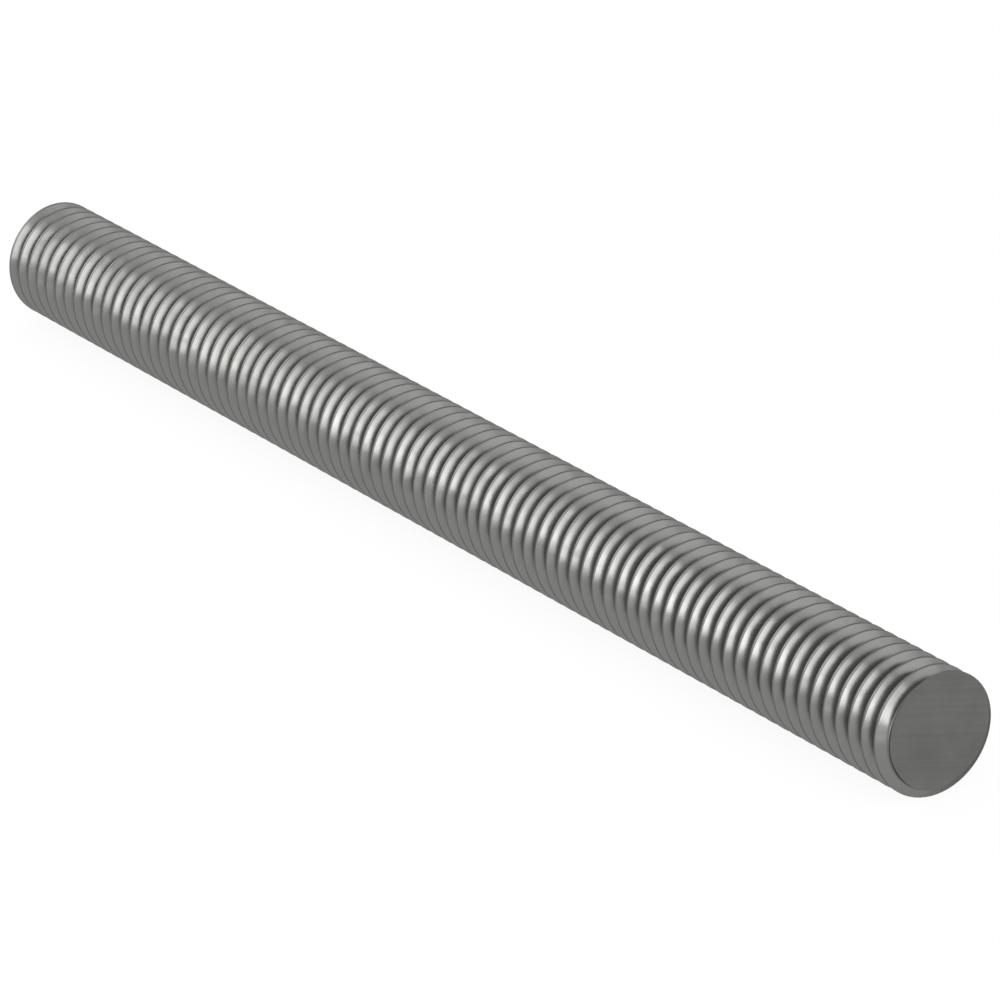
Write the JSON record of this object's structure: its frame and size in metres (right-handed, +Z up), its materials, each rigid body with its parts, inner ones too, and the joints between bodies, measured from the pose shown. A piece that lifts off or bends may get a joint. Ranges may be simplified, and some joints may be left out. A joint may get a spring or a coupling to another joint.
{
  "type": "threaded rod",
  "caption": "Straight steel rod with a right-hand screw thread over its whole length and both ends cut square.",
  "frame": {"origin": "middle of the rod's length, on the surface that it lies on", "axes": "+X along the rod, out of one end face, +Y level across the rod, +Z up"},
  "size_m": [0.1588, 0.0126, 0.0127],
  "materials": {
    "steel": "bright zinc-plated steel, rolled thread, plain saw-cut ends"
  },
  "bodies": {
    "root": {"threaded_rod": "steel"}
  },
  "joints": []
}
